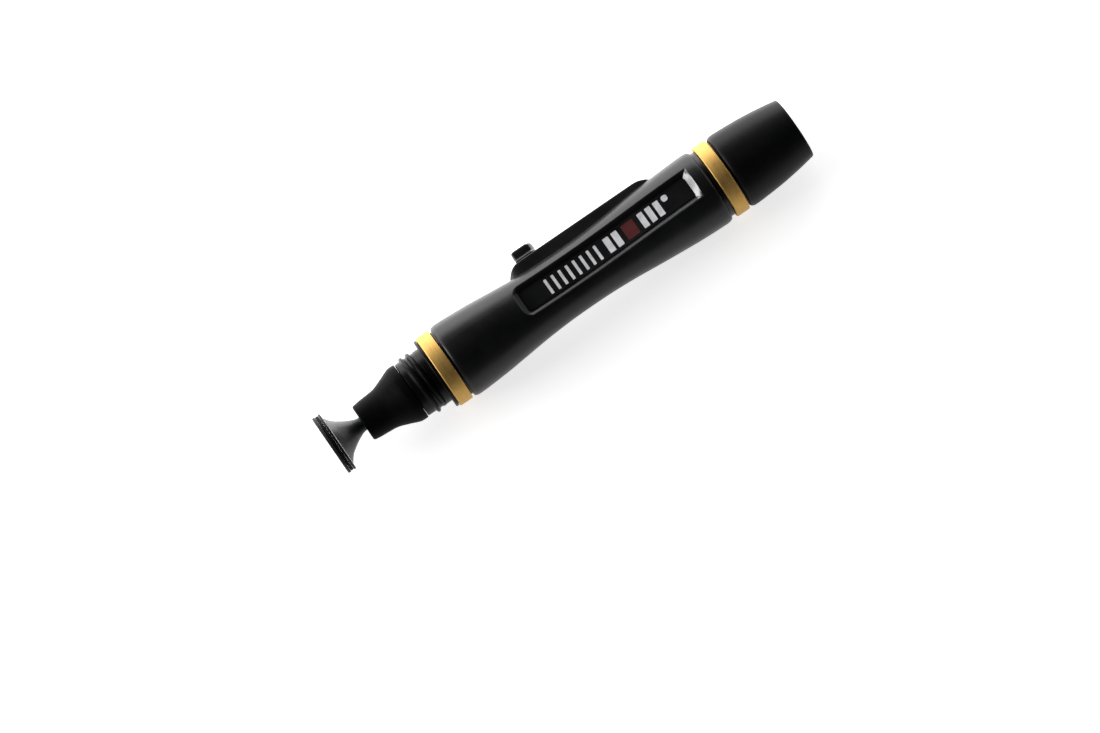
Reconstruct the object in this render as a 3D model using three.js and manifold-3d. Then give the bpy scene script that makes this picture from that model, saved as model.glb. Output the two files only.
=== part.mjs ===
// Lens cleaning pen with a retractable brush and a flexible cleaning tip.
// Millimetres. The pen lies along X: +X points to the brush end, -X to the
// cleaning tip, +Y to the slider rail, +Z up through the label recess.
// The numbers below are measured along the pen's axis from the middle of the
// trim ring at the tip end. The finished group is moved so that the pen rests
// on z = 0 with the origin under the middle of its bounding box.

import * as THREE from 'three';
import { mergeVertices } from 'three/addons/utils/BufferGeometryUtils.js';
import Module from 'manifold-3d';

const wasm = await Module();
wasm.setup();

// ---------------------------------------------------------------- dimensions
const FACETS = 24;                 // sides of every turned piece
const BODY_R = 8.3;                // greatest radius of barrel and shroud
const AXIS_Z = BODY_R * Math.cos(Math.PI / FACETS);
const TRAVEL = 24;                 // slider stroke along +X

const BARREL_X0 = 1.82;            // barrel end face at the tip side
const BARREL_X1 = 65.15;           // barrel end face at the brush side
const BORE_R = 3.95;               // bore that the brush carriage runs in
const NECK_BORE_R = 5.5;           // counterbore for the neck's spigot
const NECK_BORE_X = 9.8;
const SLEEVE_BORE_R = 5.9;         // counterbore for the ring sleeve
const SLEEVE_BORE_X = 58;
const BARREL_OUTER = [             // waisted outline, [x, radius]
  [BARREL_X0, 7.4], [2.2, 7.4], [2.3, 7.87], [3.2, BODY_R], [5.0, BODY_R],
  [7.4, 8.17], [9.8, 8.0], [12.2, 7.8], [14.6, 7.54], [17.4, 7.25],
  [21.0, 6.93], [24.6, 6.7], [28.1, 6.55], [35.2, 6.55], [38.8, 6.73],
  [42.4, 6.95], [45.9, 7.27], [49.5, 7.58], [53.1, 7.85], [56.6, 8.09],
  [59.6, 8.23], [61.6, BODY_R], [63.2, BODY_R], [64.0, 7.95], [64.1, 7.5],
  [BARREL_X1, 7.5],
];

const RAIL_HALF_W = 2.6;           // half width of the slider rail along Z
const RAIL_TOP = 8.85;             // top of the rail above the pen's axis
const RAIL_SIDE = [                // rail outline seen along Z, [x, y]
  [19.6, 5.0], [20.8, 6.95], [21.3, 7.6], [21.9, 8.2], [22.6, 8.62],
  [23.3, 8.8], [24.0, RAIL_TOP], [53.2, RAIL_TOP], [53.9, 8.62],
  [54.7, 8.1], [55.5, 7.4], [55.5, 5.0],
];
const RAIL_EDGE = 0.3;             // chamfer along the rail's long edges
const KEYWAY_HALF_W = 1.8;         // keyway under the rail, open to the bore
const KEYWAY_TOP = 7.7;
const KEYWAY_X0 = 23.3;
const SLOT_HALF_W = 1.0;           // slot in the rail's top
const SLOT_X0 = 24.6;
const SLOT_X1 = 51.5;

const RECESS_X0 = 20.4;            // label recess, floor ends
const RECESS_X1 = 60.25;
const RECESS_STEPS = 24;
const RECESS_FLOOR_HALF = 2.42;    // half width of the floor
const RECESS_MOUTH_HALF = 3.56;    // half width at the surface
const RECESS_DEPTH = 0.7;          // below the chord across the mouth
const LABEL_HALF_W = 2.3;
const LABEL_THICK = 0.25;
const LABEL_GAP = 0.06;

const NECK_RING = { x0: -1.29, x1: 1.72, inner: 6.0, outer: 8.07 };
const BRUSH_RING = { x0: 65.25, x1: 68.22, inner: 5.9, outer: 8.22 };

const NECK_ROOT_R = 6.06;          // neck under the thread
const THREAD_CREST_R = 6.63;
const THREAD_PITCH = 1.58;
const THREAD_TURNS = 2;
const THREAD_X0 = -6.75;           // start of the thread's centre line
const THREAD_START = -8.5;         // start angle in facets, from +Z towards +Y
const COLLAR_R = 6.14;
const FLANGE_R = 7.75;
const FLANGE_X0 = -1.98;           // flat face that the tip cap seats on
const NOSE_SOCKET_R = 4.25;        // socket in the neck for the nose's tenon

const NOSE_OUTER = [               // nose cone outline, [x, radius]
  [-19.21, 3.3], [-19.05, 3.7], [-18.7, 3.98], [-17.8, 4.16],
  [-14.7, 4.38], [-13.8, 4.52], [-13.0, 4.76], [-11.9, 5.19],
  [-11.0, 5.55], [-10.3, 5.87], [-9.5, 6.15], [-9.0, 6.24], [-7.9, 6.24],
  [-7.72, 6.05],
];
const NOSE_TENON_R = 4.15;
const STEM_MOUTH_R = 1.95;
const STEM_BORE_R = 2.6;

const STEM_R = 1.45;               // rubber stem where it leaves the nose
const BEND_A = -18.9;              // stem's first bend, about Y
const BEND_B = -20.5;              // stem's second bend, about Z
const BEND_GAP = 0.35;             // clearance to each side of a bend
const TRUMPET = [                  // flared rubber head, [x, radius]
  [-25.15, 5.4], [-24.95, 5.05], [-24.5, 4.45], [-23.96, 3.86],
  [-23.0, 3.17], [-21.8, 2.4], [BEND_B - BEND_GAP, 1.95],
];
const DISC = { x0: -25.75, x1: -25.25, r: 6.55 };
const FOAM = { x0: -26.4, x1: -25.8, r: 6.3 };
const PAD = { x0: -27.1, x1: -26.45, r: 6.5 };

const SHROUD_OUTER = [             // brush shroud outline, [x, radius]
  [68.32, 7.4], [68.62, 7.4], [68.7, 7.95], [69.35, BODY_R], [70.6, BODY_R],
  [72.1, 8.22], [74.5, 8.07], [76.8, 7.88], [79.2, 7.6], [81.6, 7.25],
  [83.2, 7.02], [84.0, 6.85], [84.4, 6.6], [84.55, 6.3],
];
const SHROUD_END = SHROUD_OUTER[SHROUD_OUTER.length - 1][0];
const SHROUD_MOUTH_R = 5.4;
const SHROUD_BORE_R = 5.2;
const SLEEVE = { x0: 58.1, x1: 70.0, inner: 4.9, outer: 5.8 };
const BUSH = { x0: 59.0, x1: 63.0, inner: 3.75, outer: 4.8 };
const PLUG = { x0: 9.9, x1: 12.6, r: 3.85 };

const KNOB_X = 26.24;              // middle of the thumb knob at rest
const KNOB_LENGTH = 4.9;
const KNOB_WIDTH = 4.4;
const KNOB_BASE = 9.6;             // underside and top above the pen's axis
const KNOB_TOP = 11.5;
const POST = { x0: 24.9, x1: 27.2, half: 0.85, foot: 5.5 };
const SHOE = { x0: 23.6, x1: 33.6, half: 1.65, y0: 3.7, y1: 7.5 };
const SHOE_STEP_X = 27.9;          // the detent spring lies past this step
const SHOE_STEP_Y = 6.7;
const FOOT = { x0: 24.6, x1: 28.6, half: 1.2, y0: 3.0 };
const CARRIAGE = { x0: 21.5, x1: 58.5, r: 3.6, bore: 2.95 };
const FERRULE = { x0: 50.5, x1: 60.4, outer: 2.85, inner: 2.68 };
const EPOXY = { x0: 50.8, x1: 52.8, r: 2.55 };
const BRISTLES = [                 // bristle bundle, [x, radius]
  [52.9, 0], [52.9, 2.55], [60.4, 2.6], [63.2, 3.1], [66.0, 3.5],
  [70.0, 4.0], [75.0, 4.4], [79.0, 4.3], [81.4, 3.6], [82.4, 2.4],
  [82.7, 0],
];

// ------------------------------------------------------------------- helpers
// A geometry as a closed indexed mesh with shared vertices and no
// flat triangles.
function welded(geometry) {
  const g = geometry.clone();
  g.deleteAttribute('normal');
  g.deleteAttribute('uv');
  const m = mergeVertices(g, 1e-4);
  const index = m.index.array;
  const kept = [];
  for (let i = 0; i < index.length; i += 3) {
    const [a, b, c] = [index[i], index[i + 1], index[i + 2]];
    if (a !== b && b !== c && c !== a) kept.push(a, b, c);
  }
  const p = m.attributes.position.array;
  let volume = 0;
  for (let i = 0; i < kept.length; i += 3) {
    const [a, b, c] = [kept[i] * 3, kept[i + 1] * 3, kept[i + 2] * 3];
    volume += p[a] * (p[b + 1] * p[c + 2] - p[b + 2] * p[c + 1])
      - p[a + 1] * (p[b] * p[c + 2] - p[b + 2] * p[c])
      + p[a + 2] * (p[b] * p[c + 1] - p[b + 1] * p[c]);
  }
  if (volume < 0) {
    for (let i = 0; i < kept.length; i += 3) {
      [kept[i + 1], kept[i + 2]] = [kept[i + 2], kept[i + 1]];
    }
  }
  m.setIndex(kept);
  return m;
}

function solid(geometry) {
  const m = welded(geometry);
  return new wasm.Manifold(new wasm.Mesh({
    numProp: 3,
    vertProperties: new Float32Array(m.attributes.position.array),
    triVerts: new Uint32Array(m.index.array),
  }));
}

function surface(manifold) {
  const mesh = manifold.getMesh();
  const g = new THREE.BufferGeometry();
  g.setAttribute('position', new THREE.BufferAttribute(new Float32Array(mesh.vertProperties), 3));
  g.setIndex(new THREE.BufferAttribute(new Uint32Array(mesh.triVerts), 1));
  return g;
}

// Turned piece about the pen's axis from [x, radius] points, with a flat side
// facing down, up and to each side.
function turned(points, facets = FACETS) {
  const g = new THREE.LatheGeometry(
    points.map(([x, r]) => new THREE.Vector2(r, x)), facets, Math.PI / facets);
  g.rotateZ(-Math.PI / 2);
  return g;
}

// Turned piece with an outline that starts and ends on the axis.
const turnedSolid = (outer) => turned([[outer[0][0], 0], ...outer, [outer[outer.length - 1][0], 0]]);

// Turned ring with a plain bore.
const ring = (x0, x1, inner, outer, edge = 0) => turned(edge > 0
  ? [[x0, inner], [x0, outer - edge], [x0 + edge, outer], [x1 - edge, outer],
    [x1, outer - edge], [x1, inner], [x0, inner]]
  : [[x0, inner], [x0, outer], [x1, outer], [x1, inner], [x0, inner]]);

function block(x0, x1, y0, y1, z0, z1) {
  const g = new THREE.BoxGeometry(x1 - x0, y1 - y0, z1 - z0);
  g.translate((x0 + x1) / 2, (y0 + y1) / 2, (z0 + z1) / 2);
  return g;
}

// Outline in X and Y, pulled along Z about the middle.
function plateXY(points, half, edge = 0) {
  const shape = new THREE.Shape(points.map(([x, y]) => new THREE.Vector2(x, y)));
  const g = new THREE.ExtrudeGeometry(shape, edge > 0
    ? { depth: 2 * (half - edge), bevelEnabled: true, bevelThickness: edge, bevelSize: edge, bevelOffset: -edge, bevelSegments: 1 }
    : { depth: 2 * half, bevelEnabled: false });
  g.translate(0, 0, -(edge > 0 ? half - edge : half));
  return g;
}

function roundedRect(length, width, r, segments) {
  const points = [];
  const corners = [[1, 1, 0], [-1, 1, 90], [-1, -1, 180], [1, -1, 270]];
  for (const [sx, sy, start] of corners) {
    for (let i = 0; i <= segments; i++) {
      const a = (start + 90 * i / segments) * Math.PI / 180;
      points.push(new THREE.Vector2(
        sx * (length / 2 - r) + r * Math.cos(a), sy * (width / 2 - r) + r * Math.sin(a)));
    }
  }
  return new THREE.Shape(points);
}

// Section in Y and Z, pulled along X in equal steps.
function bar(points, x0, x1, steps) {
  const shape = new THREE.Shape(points.map(([y, z]) => new THREE.Vector2(y, z)));
  const g = new THREE.ExtrudeGeometry(shape, { depth: x1 - x0, steps, bevelEnabled: false });
  g.applyMatrix4(new THREE.Matrix4().makeBasis(
    new THREE.Vector3(0, 1, 0), new THREE.Vector3(0, 0, 1), new THREE.Vector3(1, 0, 0)));
  g.translate(x0, 0, 0);
  return g;
}

// Moves each vertex of a geometry.
function mapped(geometry, move) {
  const p = geometry.attributes.position;
  for (let i = 0; i < p.count; i++) {
    const [x, y, z] = move(p.getX(i), p.getY(i), p.getZ(i));
    p.setXYZ(i, x, y, z);
  }
  return geometry;
}

function radiusAt(outline, x) {
  for (let i = 1; i < outline.length; i++) {
    const [x0, r0] = outline[i - 1];
    const [x1, r1] = outline[i];
    if (x <= x1) return r0 + (r1 - r0) * (x - x0) / (x1 - x0);
  }
  return outline[outline.length - 1][1];
}

// Height of the label recess's floor above the pen's axis.
const floorAt = (x) => Math.sqrt(radiusAt(BARREL_OUTER, x) ** 2 - RECESS_MOUTH_HALF ** 2) - RECESS_DEPTH;

// -------------------------------------------------------------------- pieces
function makeBarrel() {
  let body = solid(turnedSolid(BARREL_OUTER));
  body = body.add(solid(plateXY(RAIL_SIDE, RAIL_HALF_W, RAIL_EDGE)));
  body = body.subtract(solid(turnedSolid([[BARREL_X0 - 1, NECK_BORE_R], [NECK_BORE_X, NECK_BORE_R]])));
  body = body.subtract(solid(turnedSolid([[NECK_BORE_X - 1, BORE_R], [BARREL_X1 + 1, BORE_R]])));
  body = body.subtract(solid(turnedSolid([[SLEEVE_BORE_X, SLEEVE_BORE_R], [BARREL_X1 + 1, SLEEVE_BORE_R]])));
  body = body.subtract(solid(block(KEYWAY_X0, BARREL_X1 + 1, 2, KEYWAY_TOP, -KEYWAY_HALF_W, KEYWAY_HALF_W)));
  // Slot for the knob's post, through the rail's top into the keyway.
  body = body.subtract(solid(block(SLOT_X0, SLOT_X1, 7, RAIL_TOP + 1, -SLOT_HALF_W, SLOT_HALF_W)));
  // Label recess: sloped walls and ends, floor that follows the waist.
  const slope = (RECESS_MOUTH_HALF - RECESS_FLOOR_HALF) / RECESS_DEPTH;
  const rise = 1.6;
  const section = [
    [-RECESS_FLOOR_HALF, 0], [RECESS_FLOOR_HALF, 0],
    [RECESS_FLOOR_HALF + slope * rise, rise], [RECESS_FLOOR_HALF + slope * rise, rise + 1.5],
    [-RECESS_FLOOR_HALF - slope * rise, rise + 1.5], [-RECESS_FLOOR_HALF - slope * rise, rise],
  ];
  const cutter = mapped(bar(section, RECESS_X0, RECESS_X1, RECESS_STEPS), (x, y, z) => {
    const high = z > 0.01;
    let at = x;
    if (x < RECESS_X0 + 1e-3) at = x - (high ? 2.2 : 0.4);
    if (x > RECESS_X1 - 1e-3) at = x + (high ? 2.2 : 0.1);
    return [at, y, z + floorAt(x)];
  });
  body = body.subtract(solid(cutter));
  return surface(body);
}

function makeLabel() {
  const section = [
    [-LABEL_HALF_W, 0], [LABEL_HALF_W, 0], [LABEL_HALF_W, LABEL_THICK], [-LABEL_HALF_W, LABEL_THICK],
  ];
  return mapped(bar(section, RECESS_X0, RECESS_X1, RECESS_STEPS),
    (x, y, z) => [x, y, z + floorAt(x) + LABEL_GAP]);
}

function makeNeck() {
  let neck = solid(turnedSolid([
    [-7.6, 5.85], [-7.4, NECK_ROOT_R], [-3.3, NECK_ROOT_R], [-3.2, COLLAR_R], [FLANGE_X0, COLLAR_R],
    [FLANGE_X0, FLANGE_R - 0.1], [FLANGE_X0 + 0.1, FLANGE_R], [-1.4, FLANGE_R], [-1.4, 5.9], [1.7, 5.9],
    [1.7, 5.4], [9.5, 5.4],
  ]));
  // Thread: a triangular ridge laid along a line, then wound right-handed
  // round the neck with its height running out at both ends.
  const turns = THREAD_TURNS;
  const steps = turns * FACETS;
  const ridge = bar([[-0.55, -0.5], [0.55, -0.5], [0.55, 0], [0.14, 1], [-0.14, 1], [-0.55, 0]], 0, turns, steps);
  mapped(ridge, (u, a, h) => {
    const angle = THREAD_START * 2 * Math.PI / FACETS - u * 2 * Math.PI;
    const grown = Math.min(1, Math.min(u, turns - u) * 4 + 0.05);
    const r = h < 0 ? NECK_ROOT_R - 0.5 : NECK_ROOT_R - 0.12 + h * (THREAD_CREST_R - NECK_ROOT_R + 0.12) * grown;
    return [THREAD_X0 + THREAD_PITCH * u - a, r * Math.sin(angle), r * Math.cos(angle)];
  });
  neck = neck.add(solid(ridge));
  neck = neck.subtract(solid(turnedSolid([[-9, NOSE_SOCKET_R], [-0.8, NOSE_SOCKET_R]])));
  neck = neck.subtract(solid(turnedSolid([[-2, 3.2], [11, 3.2]])));
  return surface(neck);
}

function makeNose() {
  const outer = [...NOSE_OUTER, [-7.71, NOSE_TENON_R], [-1.1, NOSE_TENON_R], [-1.0, NOSE_TENON_R - 0.1]];
  let nose = solid(turnedSolid(outer));
  nose = nose.subtract(solid(turnedSolid([[-20, STEM_MOUTH_R], [-17, STEM_MOUTH_R]])));
  nose = nose.subtract(solid(turnedSolid([[-17.5, STEM_BORE_R], [0, STEM_BORE_R]])));
  return surface(nose);
}

function makeStemBase() {
  return turnedSolid([
    [BEND_A + BEND_GAP, STEM_R - 0.1], [BEND_A + BEND_GAP + 0.1, STEM_R], [-17.3, STEM_R], [-17.29, STEM_BORE_R - 0.1],
    [-6.2, STEM_BORE_R - 0.1], [-6.19, 0.9], [-4.2, 0.9], [-4.0, 0.7],
  ]);
}

const makeStemLink = () => turnedSolid([
  [BEND_B + BEND_GAP, 1.66], [BEND_A - BEND_GAP, STEM_R],
]);

const makeTrumpet = () => turnedSolid(TRUMPET);

function makeShroud() {
  let shroud = solid(turnedSolid(SHROUD_OUTER));
  shroud = shroud.subtract(solid(turnedSolid([
    [67, SLEEVE.outer + 0.1], [SLEEVE.x1 + 0.1, SLEEVE.outer + 0.1], [SLEEVE.x1 + 0.11, SHROUD_BORE_R],
    [83.9, SHROUD_BORE_R], [84.3, SHROUD_MOUTH_R], [86, SHROUD_MOUTH_R],
  ])));
  return surface(shroud);
}

function makeKnob() {
  // Thumb pad with bevelled edges and cross ridges, on a flat post.
  const edge = 0.35;
  const cap = new THREE.ExtrudeGeometry(roundedRect(KNOB_LENGTH, KNOB_WIDTH, 1.1, 3), {
    depth: KNOB_TOP - KNOB_BASE - 2 * edge, bevelEnabled: true, bevelThickness: edge,
    bevelSize: edge, bevelOffset: -edge, bevelSegments: 2,
  });
  cap.rotateX(-Math.PI / 2);
  cap.translate(KNOB_X, KNOB_BASE + edge, 0);
  let knob = solid(cap);
  for (const dx of [-1.1, 0, 1.1]) {
    knob = knob.subtract(solid(block(KNOB_X + dx - 0.2, KNOB_X + dx + 0.2, KNOB_TOP - 0.3, KNOB_TOP + 1, -3, 3)));
  }
  knob = knob.add(solid(block(KNOB_X - 1.75, KNOB_X + 1.75, RAIL_TOP + 0.15, KNOB_BASE + 0.2, -1.6, 1.6)));
  knob = knob.add(solid(block(POST.x0, POST.x1, POST.foot, KNOB_BASE, -POST.half, POST.half)));
  return surface(knob);
}

function makeShoe() {
  let shoe = solid(plateXY([
    [SHOE.x0, SHOE.y0], [SHOE.x1, SHOE.y0], [SHOE.x1, SHOE_STEP_Y], [SHOE_STEP_X, SHOE_STEP_Y],
    [SHOE_STEP_X, SHOE.y1], [SHOE.x0, SHOE.y1],
  ], SHOE.half));
  shoe = shoe.add(solid(block(FOOT.x0, FOOT.x1, FOOT.y0, SHOE.y0 + 0.2, -FOOT.half, FOOT.half)));
  shoe = shoe.subtract(solid(block(POST.x0 - 0.1, POST.x1 + 0.1, POST.foot - 0.1, SHOE.y1 + 1, -POST.half - 0.1, POST.half + 0.1)));
  return surface(shoe);
}

function makeDetent() {
  // Arched leaf on the shoe's step, its crown just under the keyway's roof.
  const x0 = SHOE_STEP_X + 0.15;
  const x1 = SHOE.x1 - 0.2;
  const thick = 0.16;
  const top = [];
  const bottom = [];
  for (let i = 0; i <= 10; i++) {
    const t = i / 10;
    const y = SHOE_STEP_Y + 0.08 + 0.66 * Math.sin(Math.PI * t) ** 2;
    top.push([x0 + (x1 - x0) * t, y + thick]);
    bottom.unshift([x0 + (x1 - x0) * t, y]);
  }
  return plateXY([...bottom, ...top], 1.3);
}

function makeCarriage() {
  let c = solid(turnedSolid([
    [CARRIAGE.x0, CARRIAGE.r - 0.3], [CARRIAGE.x0 + 0.3, CARRIAGE.r],
    [CARRIAGE.x1 - 0.3, CARRIAGE.r], [CARRIAGE.x1, CARRIAGE.r - 0.3],
  ]));
  c = c.subtract(solid(turnedSolid([[CARRIAGE.x0 + 1.2, CARRIAGE.bore], [CARRIAGE.x1 + 1, CARRIAGE.bore]])));
  c = c.subtract(solid(block(FOOT.x0 - 0.1, FOOT.x1 + 0.1, 2, 5, -FOOT.half - 0.1, FOOT.half + 0.1)));
  return surface(c);
}

function makeFerrule() {
  // Drawn sleeve with a crimp groove round its middle.
  const { x0, x1, outer, inner } = FERRULE;
  return turned([
    [x0, inner], [x0, outer], [59.1, outer], [59.3, outer - 0.06], [59.5, outer - 0.06],
    [59.7, outer], [x1, outer], [x1, inner], [x0, inner],
  ]);
}

// ------------------------------------------------------------------ assembly
const BLACK = 0x141415;
const materials = {
  satin_black: { color: BLACK, roughness: 0.42, metalness: 0 },
  matte_black: { color: 0x101011, roughness: 0.7, metalness: 0 },
  label_black: { color: 0x0d0d0f, roughness: 0.35, metalness: 0 },
  gold: { color: 0xc9983a, roughness: 0.32, metalness: 1 },
  rubber: { color: 0x1b1b1d, roughness: 0.55, metalness: 0 },
  foam: { color: 0x2a2a2c, roughness: 0.95, metalness: 0 },
  chamois: { color: 0x18181a, roughness: 0.9, metalness: 0 },
  inner_plastic: { color: 0x2b2c2f, roughness: 0.5, metalness: 0 },
  steel: { color: 0xb9bcc0, roughness: 0.3, metalness: 1 },
  resin: { color: 0x6b5a3a, roughness: 0.4, metalness: 0 },
  bristle: { color: 0x2c2723, roughness: 0.7, metalness: 0 },
};

// The origin is under the middle of the pen's bounding box, on the table.
const pen = new THREE.Group();
pen.position.set(-(PAD.x0 + SHROUD_END) / 2, -(KNOB_TOP - AXIS_Z) / 2, AXIS_Z);

function place(name, geometry, material) {
  const mesh = new THREE.Mesh(welded(geometry), new THREE.MeshStandardMaterial(materials[material]));
  mesh.name = name;
  pen.add(mesh);
}

// Fixed body
place('barrel', makeBarrel(), 'satin_black');
place('label_plate', makeLabel(), 'label_black');
place('neck_ring', ring(NECK_RING.x0, NECK_RING.x1, NECK_RING.inner, NECK_RING.outer, 0.25), 'gold');
place('brush_ring', ring(BRUSH_RING.x0, BRUSH_RING.x1, BRUSH_RING.inner, BRUSH_RING.outer, 0.25), 'gold');
place('threaded_neck', makeNeck(), 'matte_black');
place('nose_cone', makeNose(), 'matte_black');
place('tip_stem_base', makeStemBase(), 'rubber');
place('stem_retainer', ring(-6.0, -5.5, 1.0, 2.5), 'steel');
place('bulkhead_plug', turnedSolid([[PLUG.x0, PLUG.r], [PLUG.x1, PLUG.r]]), 'inner_plastic');
place('ring_sleeve', ring(SLEEVE.x0, SLEEVE.x1, SLEEVE.inner, SLEEVE.outer), 'inner_plastic');
place('guide_bush', ring(BUSH.x0, BUSH.x1, BUSH.inner, BUSH.outer), 'inner_plastic');
place('brush_shroud', makeShroud(), 'satin_black');

// Slider
place('thumb_knob', makeKnob(), 'satin_black');
place('slider_shoe', makeShoe(), 'inner_plastic');
place('detent_spring', makeDetent(), 'steel');
place('brush_carriage', makeCarriage(), 'inner_plastic');
place('brush_ferrule', makeFerrule(), 'steel');
place('bristle_plug', turnedSolid([[EPOXY.x0, EPOXY.r], [EPOXY.x1, EPOXY.r]]), 'resin');
place('brush_bristles', turned(BRISTLES), 'bristle');

// Flexible tip
place('tip_stem_link', makeStemLink(), 'rubber');
place('tip_trumpet', makeTrumpet(), 'rubber');
place('tip_disc', turnedSolid([[DISC.x0, DISC.r - 0.12], [DISC.x0 + 0.12, DISC.r], [DISC.x1 - 0.12, DISC.r], [DISC.x1, DISC.r - 0.12]]), 'rubber');
place('tip_foam', turnedSolid([[FOAM.x0, FOAM.r], [FOAM.x1, FOAM.r]]), 'foam');
place('tip_pad', turnedSolid([[PAD.x0, PAD.r - 0.25], [PAD.x0 + 0.25, PAD.r], [PAD.x1, PAD.r]]), 'chamois');

export default pen;
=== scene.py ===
# Lens cleaning pen: the looks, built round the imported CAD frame. Metres.
import math

import bmesh
import bpy
import numpy as np
from mathutils import Matrix, Vector


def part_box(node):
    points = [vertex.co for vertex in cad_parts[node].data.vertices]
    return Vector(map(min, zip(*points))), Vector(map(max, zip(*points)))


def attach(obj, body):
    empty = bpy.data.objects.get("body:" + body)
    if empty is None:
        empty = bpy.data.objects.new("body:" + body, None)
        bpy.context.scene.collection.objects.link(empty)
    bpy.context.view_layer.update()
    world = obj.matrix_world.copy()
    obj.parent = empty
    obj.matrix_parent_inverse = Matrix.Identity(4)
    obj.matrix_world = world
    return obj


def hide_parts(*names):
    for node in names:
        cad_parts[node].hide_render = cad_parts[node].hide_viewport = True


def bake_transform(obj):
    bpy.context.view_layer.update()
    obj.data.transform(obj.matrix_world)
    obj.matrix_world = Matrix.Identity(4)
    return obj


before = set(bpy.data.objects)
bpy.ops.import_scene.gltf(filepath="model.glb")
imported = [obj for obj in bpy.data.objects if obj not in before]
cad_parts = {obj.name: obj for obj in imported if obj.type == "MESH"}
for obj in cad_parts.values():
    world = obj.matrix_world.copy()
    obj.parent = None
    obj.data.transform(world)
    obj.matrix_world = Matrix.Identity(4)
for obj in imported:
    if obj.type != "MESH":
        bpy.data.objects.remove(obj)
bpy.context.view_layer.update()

# ------------------------------------------------------------------ placement
# Points below are in millimetres along the pen's own axis, as in the design:
# x from the middle of the ring at the tip end, y towards the slider rail, z up.
lo_ring, hi_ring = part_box("neck_ring")
lo_barrel, hi_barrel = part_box("barrel")
MM = 0.001
FIT = 0.9914                      # a round body just inside the frame's 24 flats
OX = (lo_ring.x + 1.29 * MM)
OY = (lo_ring.y + hi_ring.y) / 2
OZ = (lo_ring.z + hi_ring.z) / 2


def P(x, y=0.0, z=0.0):
    """A point of the design, in metres in the row frame."""
    return Vector((OX + x * MM, OY + y * MM, OZ + z * MM))


def link(obj):
    bpy.context.scene.collection.objects.link(obj)
    return obj


# --------------------------------------------------------------------- camera
VIEW_EL = math.radians(72.2)
TILT = math.radians(2.0)          # the brush end is further from the camera
ROLL = math.radians(34.45)        # the pen's +X climbs to the right in the view
DIST = 1.2
v = Vector((-math.sin(TILT), -math.cos(VIEW_EL) * math.cos(TILT), math.sin(VIEW_EL) * math.cos(TILT)))
ax = Vector((1, 0, 0)) - v * v.x
ax.normalize()
up_side = v.cross(ax)
right = ax * math.cos(ROLL) - up_side * math.sin(ROLL)
up = ax * math.sin(ROLL) + up_side * math.cos(ROLL)
target = P(17.7) - up_side * 11.6 * MM
cam = link(bpy.data.objects.new("camera", bpy.data.cameras.new("camera")))
rot = Matrix((right, up, v)).transposed()
cam.matrix_world = Matrix.Translation(target + v * DIST) @ rot.to_4x4()
cam.data.sensor_width = 36
cam.data.lens = 5.05 * 36 / 1100 * DIST * 1000
cam.data.clip_start, cam.data.clip_end = 0.05, 20
bpy.context.scene.camera = cam


# -------------------------------------------------------------- mesh helpers
def new_mesh(name, verts, faces, smooth=True, mats=(), face_mats=None):
    """verts in design millimetres."""
    me = bpy.data.meshes.new(name)
    pts = np.asarray(verts, float) * MM + np.array([OX, OY, OZ])
    me.from_pydata(pts.tolist(), [], [tuple(int(i) for i in f) for f in faces])
    for m in mats:
        me.materials.append(m)
    if face_mats is not None:
        me.polygons.foreach_set("material_index", np.asarray(face_mats, np.int32))
    me.polygons.foreach_set("use_smooth", np.full(len(me.polygons), smooth))
    me.validate()
    obj = link(bpy.data.objects.new(name, me))
    bm = bmesh.new()
    bm.from_mesh(me)
    bmesh.ops.remove_doubles(bm, verts=bm.verts, dist=1e-7)
    bmesh.ops.dissolve_degenerate(bm, dist=1e-8, edges=bm.edges)
    bmesh.ops.recalc_face_normals(bm, faces=bm.faces)
    bm.to_mesh(me)
    bm.free()
    me.update()
    return obj


def sharpen(obj, degrees=38):
    """Marks the edges over this angle sharp, so that faces beside them shade flat."""
    me = obj.data
    bm = bmesh.new()
    bm.from_mesh(me)
    limit = math.radians(degrees)
    for e in bm.edges:
        if len(e.link_faces) == 2 and e.calc_face_angle(0) > limit:
            e.smooth = False
    bm.to_mesh(me)
    bm.free()
    me.update()
    return obj


def rounded(points, steps=5):
    """A polyline with its corners rounded. Each point is (x, r) or (x, r, radius)."""
    out = []
    n = len(points)
    for i, p in enumerate(points):
        rad = p[2] if len(p) > 2 else 0
        here = np.array(p[:2], float)
        if rad <= 0 or i in (0, n - 1):
            out.append(tuple(here))
            continue
        a = np.array(points[i - 1][:2], float) - here
        b = np.array(points[i + 1][:2], float) - here
        la, lb = np.linalg.norm(a), np.linalg.norm(b)
        a, b = a / la, b / lb
        ang = math.acos(max(-1, min(1, float(a @ b))))
        if ang > math.pi - 1e-3:
            out.append(tuple(here))
            continue
        cut = min(rad / math.tan(ang / 2), 0.49 * la, 0.49 * lb)
        r = cut * math.tan(ang / 2)
        mid = a + b
        mid /= np.linalg.norm(mid)
        centre = here + mid * (r / math.sin(ang / 2))
        s, e = here + a * cut - centre, here + b * cut - centre
        t0, t1 = math.atan2(s[1], s[0]), math.atan2(e[1], e[0])
        d = (t1 - t0 + math.pi) % (2 * math.pi) - math.pi
        for k in range(steps + 1):
            t = t0 + d * k / steps
            out.append((centre[0] + r * math.cos(t), centre[1] + r * math.sin(t)))
    return out


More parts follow.
